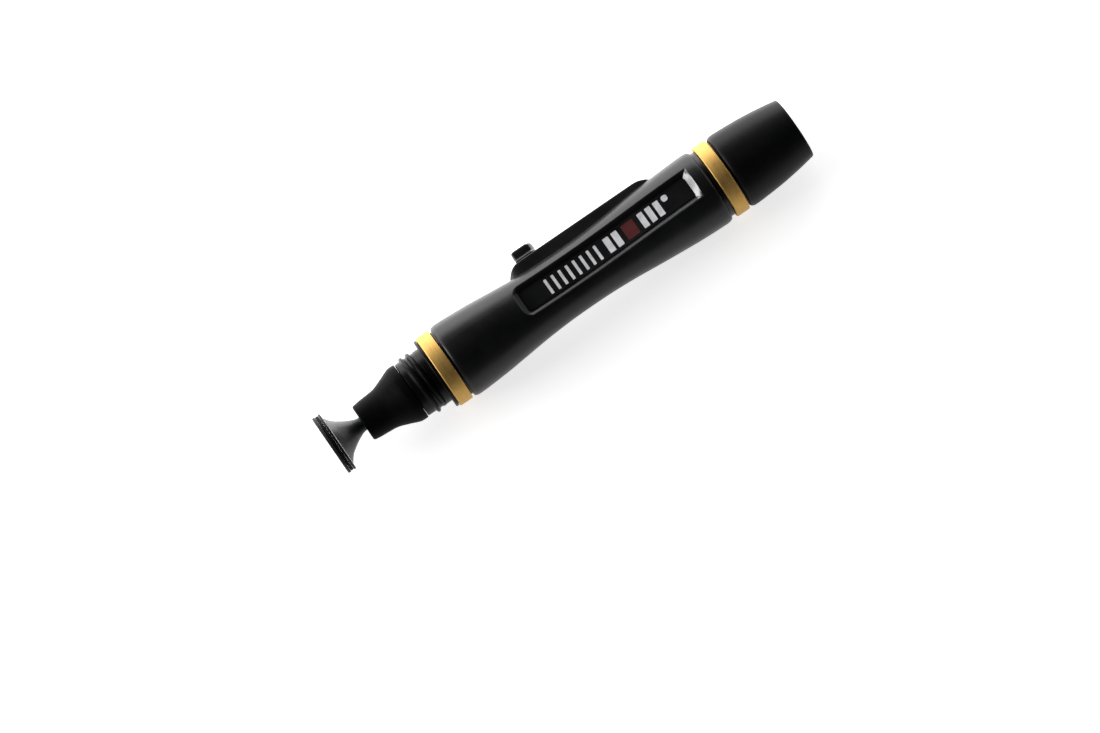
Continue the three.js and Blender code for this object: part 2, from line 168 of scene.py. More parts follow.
def spline(points, spacing):
    """Points through a smooth curve over x (monotone cubic), about this far apart."""
    xs = np.array([p[0] for p in points], float)
    ys = np.array([p[1] for p in points], float)
    h = np.diff(xs)
    d = np.diff(ys) / h
    m = np.zeros(len(xs))
    for i in range(1, len(xs) - 1):
        if d[i - 1] * d[i] > 0:
            w1, w2 = 2 * h[i] + h[i - 1], h[i] + 2 * h[i - 1]
            m[i] = (w1 + w2) / (w1 / d[i - 1] + w2 / d[i])
    m[0], m[-1] = d[0], d[-1]

    def f(x):
        i = int(np.clip(np.searchsorted(xs, x) - 1, 0, len(h) - 1))
        t = (x - xs[i]) / h[i]
        return ((1 + 2 * t) * (1 - t) ** 2 * ys[i] + t * (1 - t) ** 2 * h[i] * m[i]
                + t * t * (3 - 2 * t) * ys[i + 1] + t * t * (t - 1) * h[i] * m[i + 1])

    n = max(2, int(abs(xs[-1] - xs[0]) / spacing))
    return f, [(float(x), float(f(x))) for x in np.linspace(xs[0], xs[-1], n + 1)]


def lathe(name, points, seg=160, mats=(), closed=True, sharp=38):
    """Turned piece about the pen's axis. A closed outline joins its last point to its first."""
    pts = [(float(x), max(0.0, float(r))) for x, r in points]
    verts, rows = [], []
    for x, r in pts:
        if r < 1e-6:
            rows.append([len(verts)] * seg)
            verts.append((x, 0, 0))
        else:
            start = len(verts)
            for k in range(seg):
                t = 2 * math.pi * k / seg
                verts.append((x, r * math.cos(t), r * math.sin(t)))
            rows.append(list(range(start, start + seg)))
    faces = []
    n = len(rows)
    for i in range(n if closed else n - 1):
        a, b = rows[i], rows[(i + 1) % n]
        if a[0] == a[1] and b[0] == b[1]:
            continue
        for k in range(seg):
            k2 = (k + 1) % seg
            f = [a[k], a[k2], b[k2], b[k]]
            f = [q for j, q in enumerate(f) if q not in f[:j]]
            if len(f) >= 3:
                faces.append(f)
    obj = new_mesh(name, verts, faces, mats=mats)
    return sharpen(obj, sharp)


# ------------------------------------------------------------------ materials
def node_material(name, base, rough, metal=0.0, **sockets):
    m = bpy.data.materials.new(name)
    m.use_nodes = True
    nt = m.node_tree
    bsdf = nt.nodes["Principled BSDF"]
    bsdf.inputs["Base Color"].default_value = (*base, 1)
    bsdf.inputs["Roughness"].default_value = rough
    bsdf.inputs["Metallic"].default_value = metal
    for k, val in sockets.items():
        bsdf.inputs[k.replace("_", " ")].default_value = val
    return m, nt, bsdf


def coords(nt, scale=(1, 1, 1), centre=True):
    """Object coordinates, measured from the pen's axis when centre is true."""
    tc = nt.nodes.new("ShaderNodeTexCoord")
    mp = nt.nodes.new("ShaderNodeMapping")
    mp.vector_type = "POINT"
    if centre:
        mp.inputs["Location"].default_value = (-OX * scale[0], -OY * scale[1], -OZ * scale[2])
    mp.inputs["Scale"].default_value = scale
    nt.links.new(tc.outputs["Object"], mp.inputs["Vector"])
    return mp.outputs["Vector"]


def noise(nt, vec, scale, detail=3, rough=0.5, distortion=0.0):
    n = nt.nodes.new("ShaderNodeTexNoise")
    n.inputs["Scale"].default_value = scale
    n.inputs["Detail"].default_value = detail
    n.inputs["Roughness"].default_value = rough
    n.inputs["Distortion"].default_value = distortion
    nt.links.new(vec, n.inputs["Vector"])
    return n.outputs["Fac"]


def ramp(nt, fac, stops):
    r = nt.nodes.new("ShaderNodeValToRGB")
    els = r.color_ramp.elements
    while len(els) < len(stops):
        els.new(0.5)
    for e, (pos, col) in zip(els, stops):
        e.position = pos
        e.color = (*col, 1) if not isinstance(col, (int, float)) else (col, col, col, 1)
    nt.links.new(fac, r.inputs["Fac"])
    return r.outputs["Color"]


def remap(nt, fac, a, b, lo=0.0, hi=1.0):
    m = nt.nodes.new("ShaderNodeMapRange")
    m.inputs["From Min"].default_value = lo
    m.inputs["From Max"].default_value = hi
    m.inputs["To Min"].default_value = a
    m.inputs["To Max"].default_value = b
    nt.links.new(fac, m.inputs["Value"])
    return m.outputs["Result"]


def math_node(nt, op, a, b=None):
    m = nt.nodes.new("ShaderNodeMath")
    m.operation = op
    for i, val in enumerate((a, b)):
        if val is None:
            continue
        if isinstance(val, (int, float)):
            m.inputs[i].default_value = val
        else:
            nt.links.new(val, m.inputs[i])
    return m.outputs["Value"]


def bump(nt, bsdf, height, strength, distance):
    b = nt.nodes.new("ShaderNodeBump")
    b.inputs["Strength"].default_value = strength
    b.inputs["Distance"].default_value = distance
    nt.links.new(height, b.inputs["Height"])
    nt.links.new(b.outputs["Normal"], bsdf.inputs["Normal"])


def moulded(name, base, rough, spread=0.06, grain=2600, depth=0.000012, strength=0.5, wear=0.5, level=0.42, **sockets):
    """Moulded plastic: fine spark-eroded grain, faint handling marks, slightly polished edges."""
    m, nt, bsdf = node_material(name, base, rough, **sockets)
    bsdf.inputs["Specular IOR Level"].default_value = level
    vec = coords(nt)
    fine = noise(nt, vec, grain, 4, 0.6)
    cloud = noise(nt, vec, 180, 4, 0.55)
    rub = noise(nt, coords(nt, (25, 400, 400)), 6, 3, 0.5)
    geo = nt.nodes.new("ShaderNodeNewGeometry")
    edge = remap(nt, geo.outputs["Pointiness"], 0, 1, 0.53, 0.60)
    # roughness: base level, cloudy handling marks, rubbed streaks, polished edges
    r = remap(nt, cloud, rough - spread, rough + spread, 0.3, 0.7)
    r = math_node(nt, "ADD", r, remap(nt, rub, -spread * 0.5, spread * 0.5, 0.3, 0.7))
    r = math_node(nt, "SUBTRACT", r, math_node(nt, "MULTIPLY", edge, 0.10 * wear))
    nt.links.new(r, bsdf.inputs["Roughness"])
    # colour: a little lighter where handled and on the edges
    dark = tuple(c * 0.8 for c in base)
    light = tuple(c * 1.35 + 0.001 for c in base)
    col = ramp(nt, cloud, [(0.3, dark), (0.7, light)])
    mix = nt.nodes.new("ShaderNodeMix")
    mix.data_type = "RGBA"
    worn = tuple(c * 2.2 + 0.006 for c in base)
    mix.inputs["B"].default_value = (*worn, 1)
    nt.links.new(math_node(nt, "MULTIPLY", edge, 0.55 * wear), mix.inputs["Factor"])
    nt.links.new(col, mix.inputs["A"])
    nt.links.new(mix.outputs["Result"], bsdf.inputs["Base Color"])
    bump(nt, bsdf, fine, strength, depth)
    return m


def gold_metal(name):
    m, nt, bsdf = node_material(name, (0.80, 0.56, 0.22), 0.3, 1.0)
    # turned finish: lines run round the ring, so the pattern changes fast along X
    lines = noise(nt, coords(nt, (9000, 160, 160)), 1.0, 4, 0.65)
    scratch = noise(nt, coords(nt, (2600, 60, 60)), 1.0, 2, 0.5)
    cloud = noise(nt, coords(nt), 420, 3, 0.5)
    col = ramp(nt, lines, [(0.25, (0.50, 0.300, 0.082)), (0.5, (0.61, 0.388, 0.118)), (0.78, (0.70, 0.48, 0.17))])
    mix = nt.nodes.new("ShaderNodeMix")
    mix.data_type = "RGBA"
    mix.blend_type = "MULTIPLY"
    mix.inputs["Factor"].default_value = 0.55
    nt.links.new(col, mix.inputs["A"])
    nt.links.new(ramp(nt, cloud, [(0.3, (0.80, 0.74, 0.66)), (0.65, (1, 1, 1))]), mix.inputs["B"])
    nt.links.new(mix.outputs["Result"], bsdf.inputs["Base Color"])
    r = math_node(nt, "ADD", remap(nt, lines, 0.55, 0.67, 0.3, 0.7), remap(nt, cloud, -0.04, 0.05, 0.3, 0.7))
    nt.links.new(r, bsdf.inputs["Roughness"])
    h = math_node(nt, "ADD", lines, math_node(nt, "MULTIPLY", scratch, 0.6))
    bump(nt, bsdf, h, 0.55, 0.00002)
    return m


def rubber_mat(name, base, rough, grain=1500, level=0.5):
    m, nt, bsdf = node_material(name, base, rough)
    bsdf.inputs["Specular IOR Level"].default_value = level
    vec = coords(nt)
    fine = noise(nt, vec, grain, 4, 0.65)
    cloud = noise(nt, vec, 260, 4, 0.55)
    nt.links.new(remap(nt, cloud, rough - 0.07, rough + 0.09, 0.3, 0.7), bsdf.inputs["Roughness"])
    nt.links.new(ramp(nt, cloud, [(0.3, tuple(c * 0.8 for c in base)), (0.72, tuple(c * 1.3 for c in base))]), bsdf.inputs["Base Color"])
    bump(nt, bsdf, fine, 0.4, 0.000008)
    return m


def nap_mat(name, base):
    """Chamois: short matt nap with darker carbon smudges."""
    m, nt, bsdf = node_material(name, base, 0.92, Sheen_Weight=0.12, Sheen_Roughness=0.6)
    bsdf.inputs["Specular IOR Level"].default_value = 0.2
    vec = coords(nt)
    fibres = noise(nt, coords(nt, (1, 1, 1)), 5200, 5, 0.7, 1.5)
    cloud = noise(nt, vec, 330, 4, 0.6)
    nt.links.new(ramp(nt, cloud, [(0.35, tuple(c * 0.55 for c in base)), (0.68, tuple(c * 1.5 for c in base))]), bsdf.inputs["Base Color"])
    nt.links.new(remap(nt, fibres, 0.82, 1.0, 0.3, 0.7), bsdf.inputs["Roughness"])
    bump(nt, bsdf, fibres, 0.5, 0.00002)
    return m


def foam_mat(name, base):
    m, nt, bsdf = node_material(name, base, 0.95)
    bsdf.inputs["Specular IOR Level"].default_value = 0.2
    vec = coords(nt)
    cells = nt.nodes.new("ShaderNodeTexVoronoi")
    cells.inputs["Scale"].default_value = 3600
    nt.links.new(vec, cells.inputs["Vector"])
    nt.links.new(ramp(nt, cells.outputs["Distance"], [(0.05, tuple(c * 1.5 for c in base)), (0.6, tuple(c * 0.4 for c in base))]), bsdf.inputs["Base Color"])
    nt.links.new(remap(nt, cells.outputs["Distance"], 0.85, 1.0), bsdf.inputs["Roughness"])
    bump(nt, bsdf, cells.outputs["Distance"], 0.5, 0.00004)
    return m


def steel_mat(name, dark=(0.5, 0.5, 0.51), light=(0.72, 0.72, 0.73)):
    m, nt, bsdf = node_material(name, light, 0.28, 1.0)
    lines = noise(nt, coords(nt, (4200, 120, 120)), 1.0, 3, 0.6)
    cloud = noise(nt, coords(nt), 500, 3, 0.5)
    nt.links.new(ramp(nt, lines, [(0.3, dark), (0.7, light)]), bsdf.inputs["Base Color"])
    nt.links.new(math_node(nt, "ADD", remap(nt, lines, 0.2, 0.34, 0.3, 0.7), remap(nt, cloud, 0.0, 0.06, 0.3, 0.7)), bsdf.inputs["Roughness"])
    bump(nt, bsdf, lines, 0.4, 0.00001)
    return m


def ink_mat(name, base):
    m, nt, bsdf = node_material(name, base, 0.45)
    vec = coords(nt)
    fine = noise(nt, vec, 3800, 3, 0.6)
    cloud = noise(nt, vec, 700, 3, 0.5)
    nt.links.new(ramp(nt, cloud, [(0.28, tuple(c * 0.80 for c in base)), (0.6, tuple(min(1, c * 1.04) for c in base))]), bsdf.inputs["Base Color"])
    nt.links.new(remap(nt, fine, 0.38, 0.55, 0.3, 0.7), bsdf.inputs["Roughness"])
    bump(nt, bsdf, fine, 0.35, 0.000008)
    return m


def hair_mat(name):
    m, nt, bsdf = node_material(name, (0.05, 0.038, 0.03), 0.45)
    tc = nt.nodes.new("ShaderNodeAttribute")
    tc.attribute_name = "hair"
    strands = noise(nt, coords(nt, (40, 2600, 2600)), 1.0, 3, 0.6)
    mixv = math_node(nt, "ADD", math_node(nt, "MULTIPLY", tc.outputs["Fac"], 0.6), math_node(nt, "MULTIPLY", strands, 0.4))
    nt.links.new(ramp(nt, mixv, [(0.1, (0.012, 0.010, 0.009)), (0.5, (0.045, 0.034, 0.027)), (0.95, (0.13, 0.10, 0.075))]), bsdf.inputs["Base Color"])
    nt.links.new(remap(nt, strands, 0.36, 0.6, 0.3, 0.7), bsdf.inputs["Roughness"])
    bump(nt, bsdf, strands, 0.3, 0.00001)
    return m


def resin_mat(name):
    m, nt, bsdf = node_material(name, (0.22, 0.13, 0.045), 0.3)
    cloud = noise(nt, coords(nt), 600, 4, 0.6)
    nt.links.new(ramp(nt, cloud, [(0.3, (0.12, 0.07, 0.02)), (0.7, (0.32, 0.2, 0.08))]), bsdf.inputs["Base Color"])
    nt.links.new(remap(nt, cloud, 0.22, 0.45, 0.3, 0.7), bsdf.inputs["Roughness"])
    bump(nt, bsdf, cloud, 0.3, 0.00004)
    return m


SATIN = moulded("satin_black_plastic", (0.0062, 0.0062, 0.0066), 0.36, 0.03, level=0.22)
SHROUD = moulded("shroud_black_plastic", (0.0046, 0.0046, 0.0050), 0.42, 0.03, strength=0.3, depth=0.000008, wear=0.3, level=0.09)
NECK = moulded("neck_black_plastic", (0.0030, 0.0030, 0.0034), 0.35, 0.04, strength=0.6, depth=0.000014, wear=0.3, level=0.10)
# nose: matt black plastic, its base colour darkened below the other blacks as painted shade for the shadow that falls
# over the nose
NOSE_SHADED = moulded("nose_matt_plastic_painted_shade", (0.0026, 0.0026, 0.0029), 0.45, 0.05, strength=0.7, depth=0.00002, wear=0.15, level=0.02)
GLOSS = moulded("recess_end_gloss", (0.0062, 0.0062, 0.0066), 0.20, 0.02, strength=0.3, depth=0.000008, wear=0.3, level=0.85)
LABEL = moulded("label_black", (0.0052, 0.0052, 0.0058), 0.30, 0.03, strength=0.35, wear=0, level=0.3)
GOLD = gold_metal("gold_anodised")
RUBBER = rubber_mat("tip_rubber", (0.030, 0.031, 0.033), 0.42)
DISC_MAT = rubber_mat("disc_rubber", (0.0042, 0.0042, 0.0044), 0.5, level=0.12)
FOAM = foam_mat("foam_cells", (0.009, 0.009, 0.0095))
NAP = nap_mat("chamois_nap", (0.0075, 0.0072, 0.0070))
INNER = moulded("inner_grey_plastic", (0.05, 0.05, 0.055), 0.5, 0.06)
STEEL = steel_mat("drawn_steel")
BLUED = steel_mat("blued_spring_steel", (0.030, 0.033, 0.045), (0.060, 0.064, 0.080))
RESIN = resin_mat("potting_resin")
HAIR = hair_mat("brush_hair")
INK = ink_mat("pale_ink", (0.70, 0.70, 0.71))
RED_INK = ink_mat("dark_red_ink", (0.080, 0.006, 0.006))

# --------------------------------------------------------------------- barrel
X0, X1 = 1.82, 65.15
OUTLINE = [
    (3.56, 8.30), (4.75, 8.28), (5.94, 8.22), (7.5, 8.13), (9.11, 8.03), (11.49, 7.85),
    (13.86, 7.61), (16.2, 7.39), (18.6, 7.14), (20.99, 6.93), (24.55, 6.70),
    (28.12, 6.57), (31.7, 6.54), (35.25, 6.57), (38.81, 6.72), (42.38, 6.95),
    (45.94, 7.26), (49.50, 7.57), (53.07, 7.85), (56.63, 8.09), (60.20, 8.25),
    (62.6, 8.30),
]
radius_mid, _ = spline(OUTLINE, 0.5)


def barrel_r(x):
    return FIT * barrel_outline(x)


def barrel_outline(x):
    if x < 2.2:
        return 7.4 - max(0.0, 1.92 - x) * 0.8
    if x < 3.56:       # rounded end, 0.9 mm high
        t = (x - 2.2) / 1.36
        return 7.78 + 0.52 * math.sqrt(max(0.0, 1 - (1 - t) ** 2.3))
    if x <= 62.6:
        return radius_mid(x)
    if x <= 64.2:
        t = (64.2 - x) / 1.6
        return 7.74 + 0.56 * math.sqrt(max(0.0, 1 - (1 - t) ** 2.3))
    return 7.5 - max(0.0, x - 65.05) * 0.8


RAIL_W, RAIL_H = 2.6, 8.85
rail_h, _ = spline([(19.4, 5.4), (20.3, 6.35), (20.8, 6.92), (21.3, 7.48), (21.9, 8.05), (22.4, 8.40),
                    (23.0, 8.67), (23.8, 8.81), (24.4, 8.85), (51.4, 8.85), (52.2, 8.80), (52.9, 8.68),
                    (53.8, 8.38), (54.8, 7.94), (55.8, 7.45), (57.0, 6.9)], 1)


def rail_w(x):
    if x < 25:
        return RAIL_W * math.sqrt(max(0.05, 1 - ((25 - x) / 4.8) ** 2))
    if x > 52.5:
        return RAIL_W * math.sqrt(max(0.08, 1 - ((x - 52.5) / 3.7) ** 2))
    return RAIL_W


REC_M0, REC_F0, REC_F1, REC_M1 = 19.2, 20.4, 60.2, 61.55
MOUTH, FLOOR_HALF, DEPTH, CORNER = 3.56, 2.42, 0.7, 2.1
WALL = MOUTH - FLOOR_HALF


def mouth_half(x):
    m = MOUTH
    d = x - REC_M0
    if d < CORNER:
        d = max(d, 0.0)
        m = MOUTH - CORNER + math.sqrt(CORNER ** 2 - (CORNER - d) ** 2)
    return m


def ease(t, e=0.07):
    if t <= -e:
        return 0.0
    if t < e:
        return (t + e) ** 2 / (4 * e)
    if t < 1 - e:
        return t
    if t < 1 + e:
        return 1 - (1 + e - t) ** 2 / (4 * e)
    return 1.0


def floor_z(x):
    r = barrel_r(min(max(x, 3.6), 62.5))
    return math.sqrt(r * r - MOUTH ** 2) - DEPTH


T_LIST = [-0.1, -0.05, 0.0, 0.05, 0.1, 0.2, 0.32, 0.44, 0.56, 0.68, 0.8, 0.9, 0.95, 1.0, 1.05, 1.1]
SLOT_HALF, SLOT_A, SLOT_B, KEY_HALF, KEY_TOP, BORE = 1.0, 24.6, 51.5, 1.8, 7.7, 3.95
N_A, N_ARC1, N_FLOOR, N_ARC2, N_ARC3 = 4, 10, 12, 26, 54


def label_z(x, y, r):
    body = math.sqrt(max(0.01, r * r - y * y))
    tx = min((x - REC_M0) / (REC_F0 - REC_M0), (REC_M1 - x) / (REC_M1 - REC_F1))
    ty = (mouth_half(x) - abs(y)) / WALL
    g = ease(min(tx, ty))
    return body + (floor_z(x) - body) * g


def rail_half(x, r):
    """Half of the rail's section from its middle out to the body, as (y, z)."""
    h_top, w = rail_h(x), rail_w(x)
    y_base = math.sqrt(max(0.01, r * r - w * w))
    h = h_top - y_base
    b = min(1.0, max(0.0, h / 0.6))
    b = b * b * (3 - 2 * b)
    re = min(0.42, 0.45 * max(h, 0.01))
    rf = min(0.10, 0.4 * max(h, 0.01))
    pts = [(h_top, SLOT_HALF * k / N_A * min(1, w / 2.2)) for k in range(N_A + 1)]
    z0 = pts[-1][1]
    pts += [(h_top, z0 + (w - re - z0) * s) for s in (0.08, 0.3, 0.55, 0.8)]
    for k in range(7):
        a = math.pi / 2 * (1 - k / 6)
        pts.append((h_top - re + re * math.sin(a), w - re + re * math.cos(a)))
    yc = math.sqrt(max(0.01, (r + rf) ** 2 - (w + rf) ** 2))
    yc = min(yc, h_top - re - 0.01) if h > 0.02 else yc
    for s in (0.33, 0.66):
        pts.append((h_top - re + (yc - h_top + re) * s, w))
    centre = (yc, w + rf)
    end = math.atan2(w + rf, yc)
    n = 5
    a1 = -math.pi + 0.0          # from the wall side (pointing to -z) ...
    a2 = math.atan2(-(w + rf), -yc)  # ... to the side that touches the body, in (z, y) terms
    for k in range(n):
        t = k / (n - 1)
        ang0 = math.atan2(0, -1)
        ang1 = math.atan2(-yc, -(w + rf))
        if ang1 < 0:
            ang1 += 2 * math.pi
        ang = ang0 + (ang1 - ang0) * t
        pts.append((centre[0] + rf * math.sin(ang), centre[1] + rf * math.cos(ang)))
    # where there is no rail, the same points lie on the round body
    flat = []
    m = len(pts)
    tail = m - (N_A + 1) - 4
    w0 = max(w, 1.3)
    for k in range(m):
        if k <= N_A:
            z = SLOT_HALF * k / N_A * min(1, w / 2.2)
        elif k <= N_A + 4:
            s = (0.08, 0.3, 0.55, 0.8)[k - N_A - 1]
            z1 = SLOT_HALF * min(1, w / 2.2)
            z = z1 + (w0 - 0.35 - z1) * s
        else:
            s = (k - N_A - 5) / (tail - 1)
            z1 = SLOT_HALF * min(1, w / 2.2)
            za = z1 + (w0 - 0.35 - z1) * 0.92
            z = za + (w0 + 0.3 - za) * s
        flat.append((math.sqrt(max(0.01, r * r - z * z)), z))
    out = []
    for k, ((y, z), (fy, fz)) in enumerate(zip(pts, flat)):
        y, z = fy + (y - fy) * b, fz + (z - fz) * b
        rr = math.hypot(y, z)
        if rr < r:
            y, z = y * r / rr, z * r / rr
        out.append((y, z))
    return out


def section(x):
    """The outer section at x, as (y, z), from the rail's middle round by +Z, and the number of points of the rail's half."""
    r = barrel_r(x)
    half = rail_half(x, r)
    pts = list(half)
    a0 = math.atan2(half[-1][1], half[-1][0])
    m = mouth_half(x)
    y_start = m - WALL * T_LIST[0]
    a1 = math.acos(min(1.0, y_start / r))
    for k in range(1, N_ARC1):
        a = a0 + (a1 - a0) * k / N_ARC1
        pts.append((r * math.cos(a), r * math.sin(a)))
    ys = [m - WALL * t for t in T_LIST]
    ys += [ys[-1] * (1 - 2 * k / N_FLOOR) for k in range(1, N_FLOOR)]
    ys += [-(m - WALL * t) for t in reversed(T_LIST)]
    for y in ys:
        pts.append((y, label_z(x, y, r)))
    a2 = math.pi - a1
    for k in range(1, N_ARC2 + 1):
        a = a2 + (math.pi - a2) * k / N_ARC2
        pts.append((r * math.cos(a), r * math.sin(a)))
    for k in range(1, N_ARC3):
        a = math.pi + (math.pi - a0) * k / N_ARC3
        pts.append((r * math.cos(a), r * math.sin(a)))
    pts += [(y, -z) for y, z in reversed(half[1:])]
    return pts, len(half)


def inner_section(x, outer, n_half):
    """The bore and keyway at x, with the same number of points as the outer section."""
    if x < 9.8:
        r, key = 5.5, False
    elif x < 23.3:
        r, key = BORE, False
    elif x < 58:
        r, key = BORE, True
    else:
        r, key = 5.9, True
    n = len(outer)
    half = []
    key_top = KEY_TOP if x < 62 else 7.0
    a_key = math.asin(KEY_HALF / r)
    for k in range(n_half):
        if key:
            if k <= N_A:
                half.append((key_top, SLOT_HALF * k / N_A))
            elif k <= N_A + 5:
                half.append((key_top, SLOT_HALF + (KEY_HALF - SLOT_HALF) * (k - N_A) / 5))
            else:
                t = (k - N_A - 5) / (n_half - 1 - N_A - 5)
                half.append((key_top + (r * math.cos(a_key) - key_top) * t, KEY_HALF))
        else:
            a = a_key * k / (n_half - 1)
            half.append((r * math.cos(a), r * math.sin(a)))
    pts = list(half)
    rest = n - (2 * n_half - 1)
    for k in range(1, rest + 1):
        a = a_key + (2 * math.pi - 2 * a_key) * k / (rest + 1)
        pts.append((r * math.cos(a), r * math.sin(a)))
    pts += [(y, -z) for y, z in reversed(half[1:])]
    return pts


def stations():
    xs = [X0, 1.92, 2.14, 2.195, 2.205, 2.22, 2.27, 2.36, 2.5, 2.7, 2.95, 3.25, 3.56, 4.0]
    xs += list(np.arange(4.6, 9.6, 0.6)) + [9.7, 9.9] + list(np.arange(10.5, 18.9, 0.6))
    xs += [REC_M0 + t * (REC_F0 - REC_M0) for t in T_LIST]
    xs += [20.75, 21.0, 21.25, 21.5, 21.75, 22.0, 22.3, 22.6, 22.9, 23.2, 23.4, 23.8, 24.15]
    xs += [SLOT_A - 0.1, SLOT_A, SLOT_A + 0.25] + list(np.arange(25.4, 51.2, 0.7)) + [SLOT_B - 0.2, SLOT_B, SLOT_B + 0.1]
    xs += [51.9, 52.3, 52.7, 53.1, 53.5, 53.9, 54.3, 54.7, 55.1, 55.5, 56.0, 56.6, 57.2, 57.9, 58.1, 58.8, 59.4, 60.0]
    xs += [REC_M1 - t * (REC_M1 - REC_F1) for t in reversed(T_LIST)]
    xs += [62.35, 62.6, 63.0, 63.4, 63.7, 63.9, 64.05, 64.14, 64.185, 64.195, 64.205, 64.5, 65.05, X1]
    return sorted(set(round(float(x), 4) for x in xs))


def make_barrel():
    xs = stations()
    verts, outer_id, inner_id = [], [], []
    ia = xs.index(round(SLOT_A, 4))
    ib = xs.index(round(SLOT_B, 4))
    for i, x in enumerate(xs):
        sec, nh = section(x)
        n = len(sec)
        if ia <= i <= ib:      # the slot's edge is eased down a little
            for k in list(range(0, N_A + 1)) + list(range(n - N_A, n)):
                if k in (N_A, n - N_A) or i in (ia, ib):
                    sec[k] = (sec[k][0] - 0.1, sec[k][1])
        inn = inner_section(x, sec, nh)
        outer_id.append(list(range(len(verts), len(verts) + n)))
        verts += [(x, y, z) for y, z in sec]
        inner_id.append(list(range(len(verts), len(verts) + n)))
        verts += [(x, y, z) for y, z in inn]
    faces, shiny = [], []

    def in_slot(i, k):
        return ia <= i < ib and (k < N_A or k >= n - N_A)

    for i in range(len(xs) - 1):
        for k in range(n):
            k2 = (k + 1) % n
            if in_slot(i, k):
                continue
            ym = (verts[outer_id[i][k]][1] + verts[outer_id[i][k2]][1]) / 2
            zm = verts[outer_id[i][k]][2]
            end_wall = REC_F1 - 0.01 <= xs[i] and xs[i + 1] <= REC_M1 + 0.01 and abs(ym) < MOUTH and zm > 0
            shiny.append(1 if end_wall else 0)
            faces.append((outer_id[i][k], outer_id[i][k2], outer_id[i + 1][k2], outer_id[i + 1][k]))
            shiny.append(0)
            faces.append((inner_id[i][k], inner_id[i + 1][k], inner_id[i + 1][k2], inner_id[i][k2]))
    for i in (0, len(xs) - 1):
        for k in range(n):
            k2 = (k + 1) % n
            faces.append((outer_id[i][k], inner_id[i][k], inner_id[i][k2], outer_id[i][k2]))
    for i in range(ia, ib):
        for k in (N_A, n - N_A):
            faces.append((outer_id[i][k], outer_id[i + 1][k], inner_id[i + 1][k], inner_id[i][k]))
    for i in (ia, ib):
        for k in list(range(0, N_A)) + list(range(n - N_A, n)):
            k2 = (k + 1) % n
            faces.append((outer_id[i][k], outer_id[i][k2], inner_id[i][k2], inner_id[i][k]))
    shiny += [0] * (len(faces) - len(shiny))
    obj = new_mesh("barrel_shell", verts, faces, mats=(SATIN, GLOSS), face_mats=shiny)
    sharpen(obj, 33)
    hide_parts("barrel")
    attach(obj, "pen_body")
    return obj


make_barrel()


# ---------------------------------------------------------------- label strip
def strip_patch(verts, faces, x_a, x_b, y_a, y_b, low, high, n_x, r_c=0.0, n_y=2, slant=0.0):
    """A thin closed patch that follows the recess floor. Corners are cut when r_c is given."""
    start = len(verts)
    xs = np.linspace(x_a, x_b, n_x + 1)
    if r_c > 0:
        xs = np.array(sorted(set(list(xs) + [x_a + r_c * s for s in (0.15, 0.45, 1)] + [x_b - r_c * s for s in (0.15, 0.45, 1)])))
    rows = []
    for x in xs:
        d = min(x - x_a, x_b - x)
        cut = r_c - math.sqrt(max(0.0, r_c ** 2 - (r_c - d) ** 2)) if d < r_c else 0.0
        ya, yb = y_a + cut, y_b - cut
        row = []
        for level in (low, high):
            for k in range(n_y + 1):
                y = ya + (yb - ya) * k / n_y
                xx = x + slant * (y - (y_a + y_b) / 2)
                row.append(len(verts))
                verts.append((xx, y, floor_z(x) + level))
        rows.append(row)
    m = n_y + 1
    for a, b in zip(rows[:-1], rows[1:]):
        for k in range(n_y):
            faces.append((a[k], b[k], b[k + 1], a[k + 1]))
            faces.append((a[m + k], a[m + k + 1], b[m + k + 1], b[m + k]))
        faces.append((a[0], a[m], b[m], b[0]))
        faces.append((a[n_y], b[n_y], b[m + n_y], a[m + n_y]))
    for row in (rows[0], rows[-1]):
        for k in range(n_y):
            faces.append((row[k], row[k + 1], row[m + k + 1], row[m + k]))
    return len(verts) - start


def make_label():
    verts, faces = [], []
    strip_patch(verts, faces, 20.55, 60.1, -2.3, 2.3, 0.03, 0.17, 120, r_c=0.5, n_y=8)
    obj = new_mesh("label_strip", verts, faces, mats=(LABEL,))
    sharpen(obj, 40)
    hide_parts("label_plate")
    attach(obj, "pen_body")
    # plain printed bars: a thin group, a heavy group, a dark red block and a dot
    verts, faces, mats = [], [], []
    lo, hi = 0.172, 0.186

    def bar(xa, xb, ya, yb, mat, r_c=0.12):
        before = len(faces)
        strip_patch(verts, faces, xa, xb, ya, yb, lo, hi, max(4, int((xb - xa) / 0.4)), r_c=r_c)
        mats.extend([mat] * (len(faces) - before))

    for k in range(8):
        xa = 25.95 + k * 1.69
        bar(xa, xa + 0.62, -1.70, 1.70, 0, 0.1)
    for xa in (40.1, 42.1):
        bar(xa, xa + 1.35, -1.70, 1.70, 0)
    bar(44.5, 47.3, -1.70, 1.70, 1, 0.25)
    for xa in (48.4, 50.3, 52.2):
        bar(xa, xa + 1.25, -1.70, 1.70, 0)
    bar(54.2, 55.5, 0.45, 1.75, 0, 0.45)
    ink = new_mesh("label_bars", verts, faces, mats=(INK, RED_INK), face_mats=mats)
    sharpen(ink, 40)
    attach(ink, "pen_body")


make_label()


# -------------------------------------------------------------- turned pieces
def turned_piece(name, nodes, body, points, mat, seg=160, sharp=38):
    obj = lathe(name, points, seg, mats=(mat,), sharp=sharp)
    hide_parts(*nodes)
    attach(obj, body)
    return obj


